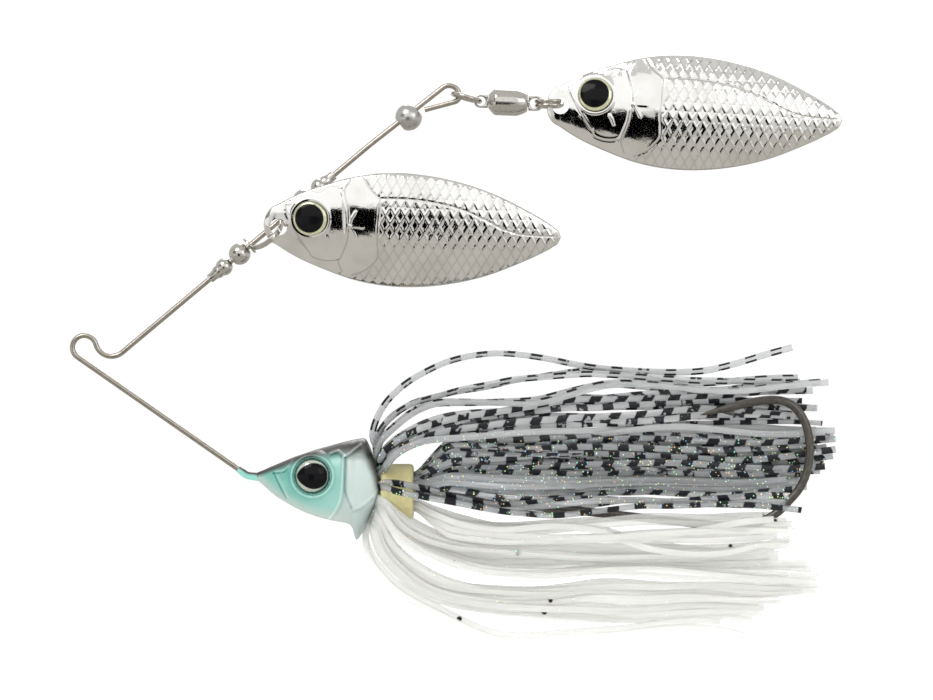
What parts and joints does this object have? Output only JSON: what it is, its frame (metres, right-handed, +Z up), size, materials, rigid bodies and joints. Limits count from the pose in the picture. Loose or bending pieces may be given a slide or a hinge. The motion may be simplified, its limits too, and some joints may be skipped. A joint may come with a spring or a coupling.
{
  "type": "spinnerbait fishing lure",
  "caption": "Twin willow-blade spinnerbait: R-bend wire form with beads, clevis and swivel, fish-shaped lead head, eyed cupped blades, upward hook and barred silicone skirt.",
  "frame": {"origin": "centre of the R-bend that the fishing line is tied to, in the plane of the wire form", "axes": "+Z up as it swims, with the blades above the hook; +X back from the line tie towards the hook bend and the blade tips; +Y to the fish-right-hand side, square to the wire form"},
  "size_m": [0.1198, 0.0162, 0.0892],
  "materials": {
    "steel_wire": "drawn stainless spring wire, satin",
    "nickel": "polished nickel plate over brass or steel",
    "bearing_steel": "polished bearing balls",
    "blade_plate": "bright nickel plate over stamped brass",
    "eye": "domed resin eye with a black pupil and a pale gold rim",
    "head_paint": "airbrushed mint paint under gloss clear coat on cast lead",
    "black_nickel": "dark plated high-carbon hook wire",
    "collar_rubber": "translucent yellow-olive rubber band",
    "barred_silicone": "clear smoke silicone with navy bars and holographic flake",
    "clear_silicone": "clear white silicone with a few dark flecks"
  },
  "bodies": {
    "lure_frame": {"wire_frame": "steel_wire", "lower_stop": "nickel", "upper_stop": "nickel", "head_casting": "head_paint", "head_eye_left": "eye", "head_eye_right": "eye", "hook": "black_nickel", "skirt_collar": "collar_rubber", "skirt_upper_left": "barred_silicone", "skirt_upper_right": "barred_silicone", "skirt_shoulder_left": "barred_silicone", "skirt_shoulder_right": "barred_silicone", "skirt_side_left": "barred_silicone", "skirt_side_right": "barred_silicone", "skirt_flank_left": "barred_silicone", "skirt_flank_right": "barred_silicone", "skirt_lower_left": "clear_silicone", "skirt_lower_right": "clear_silicone", "skirt_stray_strand": "barred_silicone", "skirt_belly": "clear_silicone", "skirt_lowest_strand": "clear_silicone"},
    "lower_bead": {"lower_bead": "nickel"},
    "clevis": {"clevis": "nickel"},
    "front_blade": {"front_blade": "blade_plate", "front_blade_eye": "eye"},
    "upper_bead": {"upper_bead": "nickel"},
    "loop_ball": {"loop_ball": "nickel"},
    "link_ring": {"link_ring": "nickel"},
    "swivel_body": {"swivel_barrel": "nickel", "swivel_front_eye": "nickel", "bearing_ball_1": "bearing_steel", "bearing_ball_2": "bearing_steel", "bearing_ball_3": "bearing_steel", "bearing_ball_4": "bearing_steel", "bearing_ball_5": "bearing_steel", "bearing_ball_6": "bearing_steel"},
    "swivel_tail": {"swivel_rear_eye": "nickel"},
    "split_ring": {"split_ring": "nickel"},
    "rear_blade": {"rear_blade": "blade_plate", "rear_blade_eye": "eye"}
  },
  "joints": [
    {"name": "arm_stack_slide", "type": "slide", "parent": "lure_frame", "child": "lower_bead", "axis": [0.7664, 0, 0.6424], "range_m": [0, 0.0025]},
    {"name": "clevis_spin", "type": "hinge", "parent": "lower_bead", "child": "clevis", "pos_m": [0.02727, 0, 0.01728], "axis": [0.7664, 0, 0.6424], "continuous": true},
    {"name": "front_blade_flare", "type": "hinge", "parent": "clevis", "child": "front_blade", "pos_m": [0.02958, -0.003, 0.01825], "axis": [0, 0, -1], "range_deg": [0, 45]},
    {"name": "upper_bead_slide", "type": "slide", "parent": "lure_frame", "child": "upper_bead", "axis": [0.7664, 0, 0.6424], "range_m": [-0.0022, 0]},
    {"name": "loop_ball_slide", "type": "slide", "parent": "lure_frame", "child": "loop_ball", "axis": [0.7869, 0, 0.617], "range_m": [-0.0118, 0]},
    {"name": "link_ring_swing", "type": "hinge", "parent": "lure_frame", "child": "link_ring", "pos_m": [0.0568, 0, 0.03815], "axis": [0, 0, 1], "range_deg": [-60, 60]},
    {"name": "swivel_swing", "type": "hinge", "parent": "link_ring", "child": "swivel_body", "pos_m": [0.05917, 0, 0.03732], "axis": [0, 0, 1], "range_deg": [-35, 35]},
    {"name": "swivel_spin", "type": "hinge", "parent": "swivel_body", "child": "swivel_tail", "pos_m": [0.0672, 0, 0.037], "axis": [0.9992, 0, -0.0401], "continuous": true},
    {"name": "split_ring_swing", "type": "hinge", "parent": "swivel_tail", "child": "split_ring", "pos_m": [0.0693, 0, 0.03692], "axis": [0, 0, 1], "range_deg": [-25, 25]},
    {"name": "rear_blade_swing", "type": "hinge", "parent": "split_ring", "child": "rear_blade", "pos_m": [0.07043, 0, 0.03671], "axis": [0, 0, 1], "range_deg": [-55, 55]}
  ]
}
